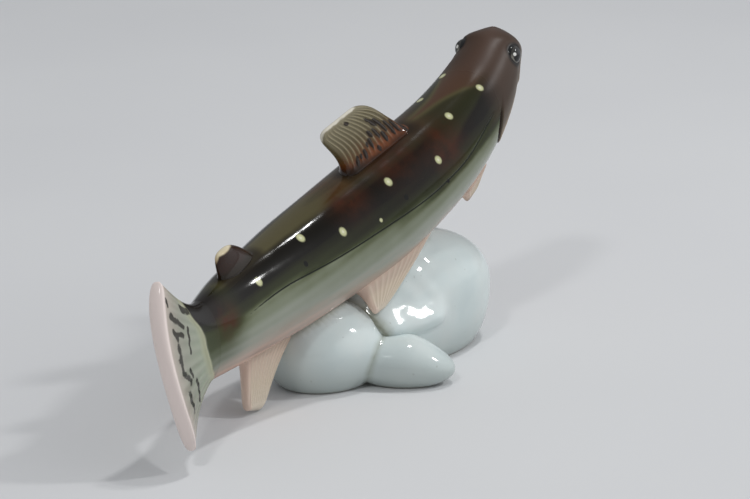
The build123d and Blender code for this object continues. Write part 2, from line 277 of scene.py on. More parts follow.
# Slip on the large boulder, which swells towards the pebble, and a rippled ledge above: its middle, the way
# it faces, how far it stands out, where it ends along and down, and how it blends in
SLIP_SWELL = 3.4
SLIP_REACH = 5
LEDGE_AT = np.array((2.4, -13, 18))
LEDGE_FACES = np.array((-0.244, -0.722, 0.648))
LEDGE_OUT = 1.2
LEDGE_HALF_LENGTH = (5, 13)
LEDGE_DROP = (3, 8)
LEDGE_FACING = (0.4, 0.6)
LEDGE_SOFTNESS = 0.6
LEDGE_RIPPLE = 0.05
LEDGE_WAVES = ((1.1, 0.5, 0.3), (-0.4, 0.9, 1.2), (0.7, -0.8, 1.0), (0.2, 0.6, -1.4))

# Photograph's view: camera and the point that it looks at
CAMERA_PLACE = (-552.94, -363.35, 231.15)
CAMERA_TARGET = (-2.34, -5.79, 32.19)
CAMERA_LENS = 131.15
CAMERA_SENSOR = 36
CAMERA_CLIP_START = 0.01

# Floor: half width in metres, grains in a metre and their colours
FLOOR_HALF = 4
FLOOR_GRAIN = 60
FLOOR_COLOURS = ((0, (212, 213, 215)), (1, (220, 221, 222)))
FLOOR_ROUGHNESS = 0.9

# Light: the dome's glows as (direction, cosine where it starts, least and greatest strength), and the
# lamps as (name, place and size in metres, watts), which point at one place
DOME_COLOUR = (0.95, 0.97, 1.0, 1)
DOME = (((0, 0, 1), -0.1, 0.26, 0.42), ((0.5, -0.7, 0.1), 0.5, 0.0, 0.8))
LAMPS = (
    ("ceiling_front", (0.21, -0.1, 1.0), (0.05, 0.05), 1.0),
    ("ceiling_rear", (0.3, -0.1, 1.0), (0.06, 0.06), 1.2),
    ("window", (0.49, -0.68, 0.78), (0.07, 0.09), 2.4),
    ("left_lamp", (-0.78, -0.17, 0.9), (0.1, 0.1), 1.8),
)
LAMP_TARGET = Vector((0, 0, 0.04))

# Glaze: mottling of its gloss and its waves as (size, detail, seed), and what dullness adds
GLOSS_MOTTLE = (9, 2, 5)
GLOSS_RANGE = (0.3, 0.7)
WAVE_MOTTLE = (5, 2, 8)
DULLING = 0.3

RIGHT = 1
LEFT = -1
UPRIGHT = np.array((0, 0, 1), float)
CURVE_SAMPLES = 11
TINY = 1e-12


def unit(vectors):
    """Vectors scaled to length 1."""
    return vectors / np.linalg.norm(vectors, axis=-1, keepdims=True)


def rise(values, low, high):
    """Smooth step from 0 at low to 1 at high."""
    share = np.clip((values - low) / (high - low), 0, 1)
    return share * share * (3 - 2 * share)


def between(values, starts, ends):
    """Smooth step up over starts and down again over ends."""
    return rise(values, *starts) * (1 - rise(values, *ends))


def bump(values, width):
    """Smooth hump of height 1 about 0."""
    return np.exp(-((values / width) ** 2))


def ripples(points, waves):
    """Sum of plane waves, each in radians per mm along X, Y and Z."""
    return sum(np.sin(points @ np.array(wave)) for wave in waves)


def curve_through(places, heights, spread):
    """Function that follows the points with their corners rounded over spread."""
    offsets = np.linspace(-spread, spread, CURVE_SAMPLES)
    return lambda x: sum(np.interp(x + offset, places, heights) for offset in offsets) / len(offsets)


def bezier(points, share):
    """Points of the Bezier curve with these control points."""
    degree = len(points) - 1
    share = np.asarray(share, float)[..., None]
    terms = [math.comb(degree, k) * share**k * (1 - share) ** (degree - k) * p for k, p in enumerate(points)]
    return sum(terms)


SHARES = np.linspace(1, 0, SPINE_STEPS + 1)
STEP_LENGTHS = np.linalg.norm(np.diff(bezier(SPINE, SHARES), axis=0), axis=1)
DISTANCES = np.concatenate([[0], np.cumsum(STEP_LENGTHS)])
SPINE_LENGTH = DISTANCES[-1]


def frames(distance):
    """Spine's points and its directions to the fish's right, to its back and ahead."""
    distance = np.asarray(distance, float)
    share = np.interp(distance, DISTANCES, SHARES)
    heading = unit(bezier(np.diff(SPINE, axis=0), share))
    level = unit(np.cross(heading, UPRIGHT))
    upward = np.cross(level, heading)
    roll = np.radians(ROLL_AT_SNOUT + (ROLL_AT_TAIL - ROLL_AT_SNOUT) * distance / SPINE_LENGTH)[..., None]
    right = level * np.cos(roll) - upward * np.sin(roll)
    return bezier(SPINE, share), right, np.cross(right, heading), heading


def radii(distance):
    """Half width, height of the back and depth of the belly at distances from the snout."""
    swell = 1 - np.clip(1 - distance / GIRTH_AT, 0, 1) ** HEAD_TAPER
    rounding = np.sqrt(1 - np.clip(1 - distance / SNOUT_ROUND, 0, 1) ** 2)
    depth = swell**HEAD_DEPTH_POWER * np.sqrt(rounding)
    along = np.clip((distance - GIRTH_AT) / (TAIL_ROOT_AT - GIRTH_AT), 0, 1)
    narrowing = along**REAR_WIDTH_POWER
    shallowing = along**REAR_DEPTH_POWER
    width = GIRTH_HALF_WIDTH * swell**HEAD_WIDTH_POWER * rounding
    width = width + (TAIL_ROOT_HALF_WIDTH - GIRTH_HALF_WIDTH) * narrowing
    back = GIRTH_BACK * depth + (TAIL_ROOT_BACK - GIRTH_BACK) * shallowing
    belly = GIRTH_BELLY * depth + (TAIL_ROOT_BELLY - GIRTH_BELLY) * shallowing
    return width, back, belly


def skin_points(distance, angle):
    """Points on the skin; angle 0 is the right side, 90 the back, 180 the left side and -90 the belly."""
    distance = np.asarray(distance, float)
    turn = np.radians(angle)
    width, back, belly = radii(distance)
    height = np.where(np.sin(turn) > 0, back, belly)
    origin, right, upward, _ = frames(distance)
    return origin + right * (width * np.cos(turn))[..., None] + upward * (height * np.sin(turn))[..., None]


def grid_normals(points):
    """Directions square to a grid of points whose columns run round the form."""
    down = np.gradient(points, axis=0)
    across = np.roll(points, -1, axis=1) - np.roll(points, 1, axis=1)
    square = np.cross(across, down)
    return square / np.maximum(np.linalg.norm(square, axis=-1, keepdims=True), TINY)


def grid_faces(rows, columns):
    """Quads of a grid whose last column joins its first."""
    row, column = np.meshgrid(np.arange(rows - 1), np.arange(columns), indexing="ij")
    after = (column + 1) % columns
    quads = np.stack([row * columns + column, row * columns + after,
                      (row + 1) * columns + after, (row + 1) * columns + column], axis=-1)
    return quads.reshape(-1, 4).tolist()


def make_piece(name, points, nodes, material, marks, sewn=False):
    """Closed piece from a grid of points in millimetres, with its marks as attributes of the points."""
    rows, columns = points.shape[:2]
    faces = grid_faces(rows, columns)
    faces.append(list(range(columns - 1, -1, -1)))
    if not sewn:
        faces.append([(rows - 1) * columns + column for column in range(columns)])
    mesh = bpy.data.meshes.new(name)
    mesh.from_pydata((points.reshape(-1, 3) * METRES).tolist(), [], faces)
    for mark, values in marks.items():
        attribute = mesh.attributes.new(mark, "FLOAT", "POINT")
        attribute.data.foreach_set("value", np.ascontiguousarray(values.reshape(-1), np.float32))
    if sewn:
        shell = bmesh.new()
        shell.from_mesh(mesh)
        bmesh.ops.remove_doubles(shell, verts=shell.verts, dist=TAIL_SEWN_WITHIN * METRES)
        shell.to_mesh(mesh)
        shell.free()
    mesh.polygons.foreach_set("use_smooth", [face.loop_total <= 4 for face in mesh.polygons])
    mesh.materials.append(material)
    mesh.update()
    piece = bpy.data.objects.new(name, mesh)
    bpy.context.scene.collection.objects.link(piece)
    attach(piece, "root")
    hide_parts(*nodes)


class Glaze:
    """Painted surface, built up from nodes."""

    def __init__(self, name):
        self.material = bpy.data.materials.new(name)
        self.material.use_nodes = True
        self.tree = self.material.node_tree
        self.shader = self.tree.nodes["Principled BSDF"]
        self.colour = None

    def node(self, kind, links=(), **settings):
        """New node with its settings; links are (socket, value or output)."""
        made = self.tree.nodes.new(kind)
        for setting, value in settings.items():
            setattr(made, setting, value)
        for socket, value in links:
            self.feed(made.inputs[socket], value)
        return made

    def feed(self, socket, value):
        """Join an output, or the mark on the mesh that a word names, to a socket, or set its own value."""
        if isinstance(value, str):
            value = self.node("ShaderNodeAttribute", attribute_name=value).outputs["Fac"]
        if isinstance(value, bpy.types.NodeSocket):
            self.tree.links.new(value, socket)
        else:
            socket.default_value = value

    def mottle(self, size, detail, seed):
        """Noise with features of about this size in millimetres."""
        place = self.node("ShaderNodeTexCoord").outputs["Object"]
        settings = (("Vector", place), ("W", seed), ("Scale", 1 / (size * METRES)), ("Detail", detail))
        return self.node("ShaderNodeTexNoise", settings, noise_dimensions="4D").outputs["Fac"]

    def cloud(self, size, detail, seed):
        """Noise like mottle, about 0."""
        return self.sum(-0.5, self.mottle(size, detail, seed))

    def sum(self, first, second, scale=1.0):
        """First value plus second times scale."""
        links = ((0, second), (1, scale), (2, first))
        return self.node("ShaderNodeMath", links, operation="MULTIPLY_ADD").outputs[0]

    def product(self, first, second):
        """Two values multiplied."""
        return self.node("ShaderNodeMath", ((0, first), (1, second)), operation="MULTIPLY").outputs[0]

    def step(self, value, low, high, start=0.0, end=1.0):
        """Smooth step from start at low to end at high."""
        links = (("Value", value), ("From Min", low), ("From Max", high), ("To Min", start), ("To Max", end))
        return self.node("ShaderNodeMapRange", links, interpolation_type="SMOOTHSTEP").outputs["Result"]

    def ramp(self, value, stops):
        """Colour that runs through (place, colour) stops."""
        made = self.node("ShaderNodeValToRGB", (("Fac", value),))
        while len(made.color_ramp.elements) < len(stops):
            made.color_ramp.elements.new(1)
        for element, (place, colour) in zip(made.color_ramp.elements, stops):
            element.position = place
            element.color = paint(colour)
        return made.outputs["Color"]

    def cover(self, under, over, amount):
        """One colour laid over another."""
        under = paint(under) if isinstance(under, tuple) else under
        over = paint(over) if isinstance(over, tuple) else over
        links = ((0, amount), (6, under), (7, over))
        return self.node("ShaderNodeMix", links, data_type="RGBA").outputs[2]

    def lay(self, over, amount):
        """Lay a colour over what is painted so far."""
        self.colour = self.cover(self.colour, over, amount)

    def finish(self, gloss, ripple, specular=0.5, dull=0.0):
        """Glossy surface with roughness from and to, waves of the ripple's height and what dulls it."""
        self.feed(self.shader.inputs["Base Color"], self.colour)
        roughness = self.step(self.mottle(*GLOSS_MOTTLE), *GLOSS_RANGE, *gloss)
        self.feed(self.shader.inputs["Roughness"], self.sum(roughness, dull, DULLING))
        self.shader.inputs["Specular IOR Level"].default_value = specular
        waves = self.node("ShaderNodeBump", (("Strength", 1.0), ("Distance", ripple * METRES),
                                             ("Height", self.mottle(*WAVE_MOTTLE))))
        self.feed(self.shader.inputs["Normal"], waves.outputs["Normal"])
        return self.material


def paint(colour):
    """Linear colour with full cover from red, green and blue of 0 to 255 on the screen's sRGB curve."""
    shares = [part / 255 for part in colour]
    linear = [s / 12.92 if s <= 0.04045 else ((s + 0.055) / 1.055) ** 2.4 for s in shares]
    return (*linear, 1)


def trunk_paint(glaze):
    """Colours from back to belly: brown or olive, black, green, pale flank and pinkish belly."""
    cloud = glaze.cloud(7, 3, 1)
    height = glaze.sum(glaze.sum("height", cloud, 0.12), "brush", 0.05)
    glaze.colour = glaze.ramp(glaze.sum(0.5, height, 0.5), (
        (0.0, (208, 174, 160)), (0.17, (200, 170, 156)), (0.25, (174, 162, 150)), (0.33, (154, 158, 146)),
        (0.40, (138, 144, 126)), (0.45, (120, 126, 104)), (0.475, (98, 104, 78)), (0.495, (66, 72, 46)),
        (0.52, (48, 52, 30)), (0.57, (36, 37, 21)), (0.65, (17, 14, 9)), (0.79, (19, 16, 10)),
        (0.85, (50, 45, 27)), (0.91, (76, 58, 41)), (1.0, (80, 57, 43)),
    ))
    olive = glaze.product("rear_back", glaze.step(height, 0.62, 0.8))
    glaze.lay((84, 80, 54), glaze.product(olive, 0.85))
    # Painted reflection: a dark olive patch on the shoulder, with a lighter painted sheen line along its top
    glaze.lay((42, 43, 24), glaze.product("shoulder_reflection", 0.9))
    glaze.lay((84, 82, 52), glaze.product("shoulder_sheen_line", 0.6))
    root = glaze.product("root", glaze.step(height, -0.8, 0.1, 0.0, 0.85))
    glaze.lay((56, 64, 33), root)
    crown = glaze.product("root", glaze.step(height, 0.12, 0.42))
    glaze.lay((22, 18, 14), crown)
    rust = glaze.product("rust", glaze.step(glaze.mottle(4, 3, 2), 0.3, 0.65, 0.4, 1))
    glaze.lay((70, 34, 16), rust)
    # Painted shade: a dark wash on the body round the roots of the dorsal and adipose fins
    fin_shade = glaze.step(glaze.sum("fin_shade_gap", cloud, 3), 4.5, 0.3, 0, 0.85)
    glaze.lay((34, 27, 18), fin_shade)


def trout_glaze():
    """Trunk's paint with a brown head, a lateral line, gill slits, a mouth, pale spots and dark dots."""
    glaze = Glaze("trout_glaze")
    cloud = glaze.cloud(7, 3, 1)
    face = glaze.ramp(glaze.sum(0.5, glaze.sum("turn", cloud, 0.1), 0.5), (
        (0.0, (176, 164, 152)), (0.22, (172, 152, 132)), (0.33, (150, 128, 100)), (0.43, (88, 76, 62)),
        (0.55, (66, 52, 42)), (0.75, (66, 49, 38)), (1.0, (76, 56, 45)),
    ))
    trunk_paint(glaze)
    glaze.lay(face, "hood")
    for mark, tone, outside, inside in (
        ("line", (22, 28, 14), 0.32, 0.1), ("gill", (40, 26, 18), 0.7, 0.25),
        ("mouth", (58, 34, 28), 0.7, 0.2), ("eye", (24, 20, 17), 3.7, 2.6),
        ("dots", (14, 14, 10), 1.25, 0.8), ("spots", (198, 199, 154), 1.28, 0.72),
    ):
        glaze.lay(tone, glaze.step(mark, outside, inside))
    glaze.lay((232, 230, 206), glaze.step("spots", 0.6, 0.2, 0, 0.7))
    return glaze.finish((0.07, 0.14), 0.03, 0.22, "hood")


def tail_glaze():
    """Trunk's paint up to a pale lip, pale green faces with dark dashes and a thick pinkish rear edge."""
    glaze = Glaze("tail_glaze")
    cloud = glaze.cloud(4, 3, 3)
    share = glaze.sum("share", cloud, 0.12)
    face = glaze.ramp(share, (
        (0.0, (158, 164, 142)), (0.4, (152, 160, 142)), (0.7, (148, 150, 136)), (0.85, (164, 158, 146)),
        (1.0, (190, 178, 168)),
    ))
    face = glaze.cover(face, (176, 176, 162), glaze.product("ray", 0.3))
    lip = glaze.sum("past_lip", cloud, 0.06)
    trunk_paint(glaze)
    glaze.lay(face, glaze.step(lip, -0.06, 0.03))
    lip_line = glaze.product(glaze.step(lip, -0.06, 0.0), glaze.step(lip, 0.12, 0.0))
    glaze.lay((188, 186, 154), glaze.product(lip_line, 0.55))
    speck = glaze.cloud(1.6, 2, 15)
    dash = glaze.sum(glaze.sum("dash", cloud, 1.6), speck, 3.2)
    glaze.lay((38, 35, 27), glaze.step(dash, 1.5, 0.7, 0, 0.93))
    glaze.lay((236, 222, 216), glaze.step("edge", 0.2, 0.5))
    return glaze.finish((0.07, 0.14), 0.03, 0.25)


def dorsal_glaze():
    """Cream rays with dark brown streaks between them, rust at the root and a cream rim."""
    glaze = Glaze("dorsal_glaze")
    cloud = glaze.cloud(3, 3, 4)
    height = glaze.sum("height", cloud, 0.2)
    glaze.colour = glaze.ramp(height, (
        (0.0, (58, 32, 16)), (0.1, (116, 60, 22)), (0.24, (98, 66, 36)), (0.45, (96, 84, 58)),
        (0.75, (116, 108, 82)), (1.0, (140, 132, 108)),
    ))
    glaze.lay((160, 148, 116), glaze.product("ray", glaze.step(height, 0.05, 0.35, 0.1, 0.6)))
    ends = glaze.product(glaze.step("rearward", 0.45, 0.95), glaze.step(height, 0.25, 0.0))
    glaze.lay((40, 28, 20), ends)
    speck = glaze.cloud(1.3, 2, 16)
    dark = glaze.step(glaze.sum(glaze.sum("streak", cloud, 0.7), speck, 0.9), 0.34, 0.62)
    glaze.lay((34, 23, 15), glaze.product(dark, 0.95))
    glaze.lay((48, 38, 28), glaze.step("dots", 1.3, 0.8))
    rim = glaze.sum("rim", speck, 0.5)
    glaze.lay((222, 217, 202), glaze.step(rim, 0.5, 0.12))
    return glaze.finish((0.08, 0.16), 0.02, 0.3)


def adipose_glaze():
    """Dark brown faces with a thick cream and orange rim."""
    glaze = Glaze("adipose_glaze")
    cloud = glaze.cloud(3, 2, 7)
    rim = glaze.sum("rim", cloud, 0.6)
    height = glaze.sum("height", cloud, 0.3)
    edge = glaze.ramp(height, (
        (0.0, (58, 40, 26)), (0.3, (120, 76, 46)), (0.6, (176, 138, 96)), (0.9, (208, 194, 160)),
        (1.0, (214, 204, 178)),
    ))
    glaze.colour = glaze.cover((46, 27, 18), edge, glaze.step(rim, 0.8, 0.3))
    glaze.lay((36, 29, 19), glaze.step(height, 0.35, 0.05, 0, 0.95))
    return glaze.finish((0.07, 0.13), 0.02, 0.3)


def belly_fin_glaze():
    """Pinkish beige with fine pale rays, a pinker rear edge and, on some fins, a brown tip."""
    glaze = Glaze("belly_fin_glaze")
    cloud = glaze.cloud(4, 3, 9)
    height = glaze.sum("height", cloud, 0.25)
    glaze.colour = glaze.ramp(height, (
        (0.0, (200, 174, 156)), (0.25, (206, 184, 166)), (0.6, (208, 192, 170)), (1.0, (214, 202, 184)),
    ))
    glaze.lay((218, 204, 184), glaze.product("ray", 0.45))
    glaze.lay((226, 200, 184), glaze.step("rear", 1.8, 0.4, 0, 0.75))
    glaze.lay((112, 84, 64), glaze.product("tint", 0.45))
    return glaze.finish((0.1, 0.18), 0.02)


def eye_glaze():
    """Black bead with a dull pale crescent at its lower edge and a white highlight painted on it."""
    glaze = Glaze("eye_glaze")
    cloud = glaze.cloud(1.2, 2, 11)
    turn = glaze.sum("turn", cloud, 5)
    ring = glaze.product(glaze.step(turn, 38, 44), glaze.step(turn, 58, 50))
    ring = glaze.product(ring, glaze.step("rearward", 0.15, 0.5, 0.12, 0.8))
    glaze.colour = glaze.cover((12, 12, 13), (150, 146, 136), ring)
    # Painted highlight: a white glint painted on the bead
    painted_highlight = glaze.sum("painted_highlight", cloud, 4)
    glaze.lay((236, 236, 230), glaze.step(painted_highlight, 12, 7))
    return glaze.finish((0.04, 0.08), 0.01)


def stone_glaze():
    """Pale blue-white glaze, greenish grey in the creases from pooled glaze and painted shade, with painted
    shade towards its foot.
    """
    glaze = Glaze("stone_glaze")
    cloud = glaze.mottle(11, 3, 12)
    glaze.colour = glaze.ramp(cloud, ((0.3, (202, 214, 214)), (0.5, (208, 219, 218)), (0.7, (214, 222, 220))))
    crease = glaze.sum("crease", glaze.cloud(4, 2, 13), 1.5)
    # Pooled glaze and painted shade: greenish grey near the creases
    glaze.lay((150, 156, 138), glaze.step(crease, 2.4, 0.2, 0, 0.7))
    glaze.lay((104, 102, 78), glaze.step(crease, 0.9, 0.1, 0, 0.6))
    # Painted shade: darker towards the foot, and darker still within a millimetre of the floor
    glaze.lay((164, 172, 168), glaze.step("foot", 12, 0.5, 0, 0.7))
    glaze.lay((140, 134, 120), glaze.step("foot", 1.0, 0.2, 0, 0.5))
    speck = glaze.step(glaze.mottle(1.1, 0, 14), 0.8, 0.84, 0, 0.2)
    glaze.lay((120, 116, 104), speck)
    return glaze.finish((0.06, 0.12), 0.05)


def side_of(angle):
    """Angle on a side, from -90 at the belly to 90 at the back, alike on the left and the right."""
    return np.where(angle <= 90, angle, 180 - angle)


def nearest_mark(points, right_marks, left_marks):
    """Distance to the nearest mark's centre in radii of that mark, which is stretched round the body."""
    nearest = np.full(points.shape[:2], FAR)
    for side, marks in ((RIGHT, right_marks), (LEFT, left_marks)):
        for distance, angle, radius in marks:
            offset = points - skin_points(distance, angle if side == RIGHT else 180 - angle)
            along = offset @ frames(distance)[3]
            around = np.sqrt(np.maximum((offset**2).sum(axis=-1) - along**2, 0))
            nearest = np.minimum(nearest, np.hypot(along, around / SPOT_STRETCH) / radius)
    return nearest


def rust_patches(points):
    """Strength of the rust paint, which fades out from its patches."""
    rust = np.zeros(points.shape[:2])
    for place, turn, size in RUST_PATCHES:
        for patch_angle in (turn, 180 - turn):
            gap = np.linalg.norm(points - skin_points(place, patch_angle), axis=-1)
            rust = np.maximum(rust, bump(gap, size))
    return rust


def brush_marks(distance, side):
    """Long brush marks along the trunk, from -1 to 1."""
    marks = [np.sin(around * side + along * distance + start) for around, along, start in BRUSH_WAVES]
    return sum(marks) / len(marks)


def make_body(material):
    """Head and trunk with mouth, gill covers, eye sockets and lateral lines."""
    row = (np.arange(1, BODY_ROWS + 1) / BODY_ROWS) ** HEAD_ROW_POWER * TAIL_ROOT_AT
    row = np.concatenate([row, TAIL_ROOT_AT + np.array(TUCKS)])
    column = -90 + 360 * np.arange(BODY_COLUMNS) / BODY_COLUMNS
    distance, angle = np.meshgrid(row, column, indexing="ij")
    points = skin_points(distance, angle)
    normals = grid_normals(points)
    side = side_of(angle)
    width, back, belly = radii(distance)
    depth = np.where(side > 0, back, belly)
    local_height = depth * np.sin(np.radians(side))
    arc_radius = np.hypot(width * np.sin(np.radians(side)), depth * np.cos(np.radians(side)))

    line_angle = curve_through(*zip(*LATERAL_LINE), LINE_ROUNDING)(distance)
    above_line = np.radians(side - line_angle) * arc_radius
    on_line = between(distance, *LINE_SPAN)
    gill_places, gill_angles = zip(*reversed(GILL_EDGE_LINE))
    behind_gill = distance - curve_through(gill_angles, gill_places, GILL_ROUNDING)(side)
    below_crown = 1 - rise(side, *GILL_SWELL_TOP)
    gill_depth = 1 - rise(side, *GILL_GROOVE_TOP)
    above_mouth = local_height + MOUTH_DROP + MOUTH_SLOPE * distance
    at_mouth = 1 - rise(distance, *MOUTH_CORNER)

    relief = -LINE_DEPTH * bump(above_line, LINE_HALF_WIDTH) * on_line
    cover = np.exp(np.minimum(behind_gill, 0) / GILL_SWELL_LENGTH)
    cover = cover * (1 - rise(behind_gill, -GILL_EDGE, GILL_EDGE))
    relief += GILL_RISE * cover * below_crown * rise(distance, *GILL_SWELL_STARTS)
    relief -= GILL_GROOVE_DEPTH * bump(behind_gill - GILL_EDGE, GILL_GROOVE_HALF_WIDTH) * gill_depth
    relief -= MOUTH_DEPTH * bump(above_mouth, MOUTH_HALF_WIDTH) * at_mouth
    relief += LIP_RISE * bump(above_mouth - LIP_WIDTH, LIP_WIDTH) * at_mouth
    from_eye = np.full(points.shape[:2], FAR)
    for eye_side in (RIGHT, LEFT):
        socket, _ = eye_socket(eye_side)
        from_eye = np.minimum(from_eye, np.linalg.norm(points - socket, axis=-1))
    flank = np.cos(np.radians(side)) ** 2
    relief += SNOUT_FULLNESS * bump(distance - SNOUT_FULL_AT, SNOUT_FULL_REACH) * flank
    relief += SOCKET_RIM_RISE * bump(from_eye - SOCKET_RIM_RADIUS, SOCKET_RIM_WIDTH)
    waves = sum(np.sin(distance / length + np.radians(angle) * turns) for length, turns in SKIN_WAVES)
    relief += WAVE_HEIGHT * waves * between(distance, *WAVE_SPAN) / len(SKIN_WAVES)
    relief -= TUCK_SLOPE * np.maximum(distance - TAIL_ROOT_AT, 0)
    points = points + normals * relief[..., None]

    # Distance from the dorsal and adipose roots, for the painted shade round them
    fin_shade_gap = np.full(distance.shape, FAR)
    for form in (DORSAL, ADIPOSE):
        outside = np.maximum(np.maximum(form["root"][0] - distance, distance - form["root"][1]), 0)
        beside = np.maximum(np.radians(90 - side) * arc_radius - form["thickness"][0] / 2, 0)
        fin_shade_gap = np.minimum(fin_shade_gap, np.hypot(outside, beside))

    above_share = (side - line_angle) / (90 - line_angle)
    below_share = (side - line_angle) / (90 + line_angle)
    height = np.where(side > line_angle, above_share, below_share)
    height = height + PALE_DROP * (1 - rise(distance, *PALE_DROP_ENDS))
    height = height - PALE_RISE * rise(distance, *PALE_RISE_STARTS)
    upper_hood = 1 - rise(behind_gill, *HOOD_UPPER_BLUR)
    lower_hood = 1 - rise(behind_gill, *HOOD_LOWER_BLUR)
    upper = rise(height, *HOOD_CHANGE)
    # Where the shoulder's painted reflection and its painted sheen line fall
    under_top = curve_through(*zip(*SHOULDER_TOP), SHOULDER_ROUNDING)(distance) - side
    over_low = side - curve_through(*zip(*SHOULDER_LOW), SHOULDER_ROUNDING)(distance)
    shoulder_reflection = rise(under_top, *SHOULDER_TOP_BLUR) * rise(over_low, *SHOULDER_LOW_BLUR)
    shoulder_sheen = bump(under_top - SHOULDER_SHEEN_AT, SHOULDER_SHEEN_WIDTH)
    line_gap = np.abs(above_line) / np.maximum(on_line, LEAST_SHARE)
    marks = {
        "height": height,
        "turn": side / 90,
        "shoulder_reflection": shoulder_reflection * (1 - rise(distance, *SHOULDER_ENDS)),
        "shoulder_sheen_line": shoulder_sheen * between(distance, *SHOULDER_SHEEN_SPAN),
        "hood": upper_hood * upper + lower_hood * (1 - upper),
        "rust": rust_patches(points),
        "root": rise(distance, *ROOT_STARTS),
        "rear_back": rise(distance, *REAR_BACK_STARTS),
        "brush": brush_marks(distance, side),
        "fin_shade_gap": fin_shade_gap,
        "line": np.where(on_line > LEAST_SHARE, line_gap, OFF_LINE),
        "gill": np.abs(behind_gill - GILL_EDGE) / np.maximum(gill_depth, LEAST_SHARE),
        "mouth": np.abs(above_mouth) / np.maximum(at_mouth, LEAST_SHARE),
        "eye": from_eye,
        "spots": nearest_mark(points, RIGHT_SPOTS, LEFT_SPOTS),
        "dots": nearest_mark(points, RIGHT_DOTS, LEFT_DOTS),
    }
    make_piece("trout_body", points, ("body_shell",), material, marks)
    return points


def tail_span(share, sine):
    """Reach of the tail above or below the spine, at a share of the way back."""
    root = np.where(sine > 0, TAIL_ROOT_BACK, TAIL_ROOT_BELLY)
    rear = np.where(sine > 0, TAIL_SPAN_ABOVE, TAIL_SPAN_BELOW)
    return root + (rear - root) * share ** np.where(sine > 0, TAIL_FLARE_ABOVE, TAIL_FLARE_BELOW)


def make_tail(material):
    """Fan with low rays, a lip where the body's paint ends and a thick, slightly rounded rear edge."""
    length = SPINE_LENGTH - TAIL_ROOT_AT
    column = np.radians(-90 + 360 * np.arange(BODY_COLUMNS) / BODY_COLUMNS)
    sine = np.sin(column)
    reach = np.ones(BODY_COLUMNS)
    for _ in range(TAIL_REAR_TRIES):
        drop = TAIL_REAR_RADIUS - np.sqrt(TAIL_REAR_RADIUS**2 - (tail_span(reach, sine) * sine) ** 2)
        reach = (1 - TAIL_REAR_STEP) * reach + TAIL_REAR_STEP * (1 - drop / length)
    part = np.concatenate([np.linspace(0, 1, TAIL_ROWS), np.ones(TAIL_CAP_ROWS)])
    lap = np.concatenate([np.zeros(TAIL_ROWS), np.linspace(0, math.pi / 2, TAIL_CAP_ROWS + 1)[1:]])
    part, turn = np.meshgrid(part, column, indexing="ij")
    lap = np.broadcast_to(lap[:, None], part.shape)
    share = part * reach
    side = side_of(np.degrees(turn))
    past_lip = share - curve_through(*zip(*TAIL_LIP), TAIL_LIP_ROUNDING)(side)

    half_width = TAIL_HALF_THICKNESS - TAIL_ROOT_HALF_WIDTH
    thinning = (share + TAIL_ROOT_EASE) ** TAIL_THINNING_POWER - TAIL_ROOT_EASE**TAIL_THINNING_POWER
    thinning /= (1 + TAIL_ROOT_EASE) ** TAIL_THINNING_POWER - TAIL_ROOT_EASE**TAIL_THINNING_POWER
    half_width = TAIL_ROOT_HALF_WIDTH + half_width * thinning
    ray = 0.5 + 0.5 * np.cos(2 * math.pi * TAIL_RAYS * side / 180)
    ray_fade = rise(past_lip, *TAIL_RAYS_START) * (1 - rise(part, *TAIL_RAYS_END)) * (lap == 0)
    half_width = half_width + TAIL_RAY_RELIEF * (ray - 0.5) * ray_fade
    sideways = np.abs(np.cos(turn))
    lip = bump(past_lip, TAIL_LIP_WIDTH) * rise(sideways, *TAIL_LIP_FACES) * rise(share, *TAIL_LIP_STARTS)
    half_width = half_width + TAIL_LIP_RISE * lip
    blunt = np.sign(np.cos(turn)) * sideways ** (1 - TAIL_BLUNTING * share)
    across = half_width * blunt * np.cos(lap)
    upward = tail_span(share, np.sin(turn)) * np.sin(turn)
    twist = np.radians(TAIL_TWIST * share)
    origin, right, back, heading = frames(TAIL_ROOT_AT + share * length)
    bulge = TAIL_EDGE_BULGE * np.sin(lap) * np.sqrt(sideways)
    points = (origin + right * (across * np.cos(twist) - upward * np.sin(twist))[..., None]
              + back * (across * np.sin(twist) + upward * np.cos(twist))[..., None]
              - heading * bulge[..., None])

    dash = np.full(share.shape, FAR)
    place = np.stack([share * length, upward], axis=-1)
    for share_0, height_0, share_1, height_1, half_thick in TAIL_DASHES:
        start = np.array((share_0 * length, height_0))
        run = np.array((share_1 * length, height_1)) - start
        along = np.clip((place - start) @ run / (run @ run), 0, 1)
        dash = np.minimum(dash, np.linalg.norm(place - start - along[..., None] * run, axis=-1) / half_thick)
    line_angle = LATERAL_LINE[-1][1]
    height = (side - line_angle) / np.where(side > line_angle, 90 - line_angle, 90 + line_angle)
    marks = {
        "share": part,
        "past_lip": past_lip,
        "height": height,
        "root": np.ones_like(share),
        "rust": rust_patches(points),
        "rear_back": np.ones_like(share),
        "brush": brush_marks(TAIL_ROOT_AT + share * length, side),
        "fin_shade_gap": np.full(share.shape, FAR),
        "ray": ray * ray_fade,
        "dash": dash,
        "edge": (rise(part, *TAIL_EDGE_PAINT) + (lap > 0)) / 2,
    }
    rings = []
    for depth in reversed(TUCKS):
        ring = skin_points(np.full(BODY_COLUMNS, TAIL_ROOT_AT - depth), np.degrees(column))
        middle = frames(TAIL_ROOT_AT - depth)[0]
        rings.append(middle + (ring - middle) * (1 - TUCK_SHRINK * depth))
    points = np.concatenate([np.stack(rings), points])
    for mark, values in marks.items():
        marks[mark] = np.concatenate([np.repeat(values[:1], len(rings), axis=0), values])
    make_piece("trout_tail", points, ("tail_fin",), material, marks, sewn=True)


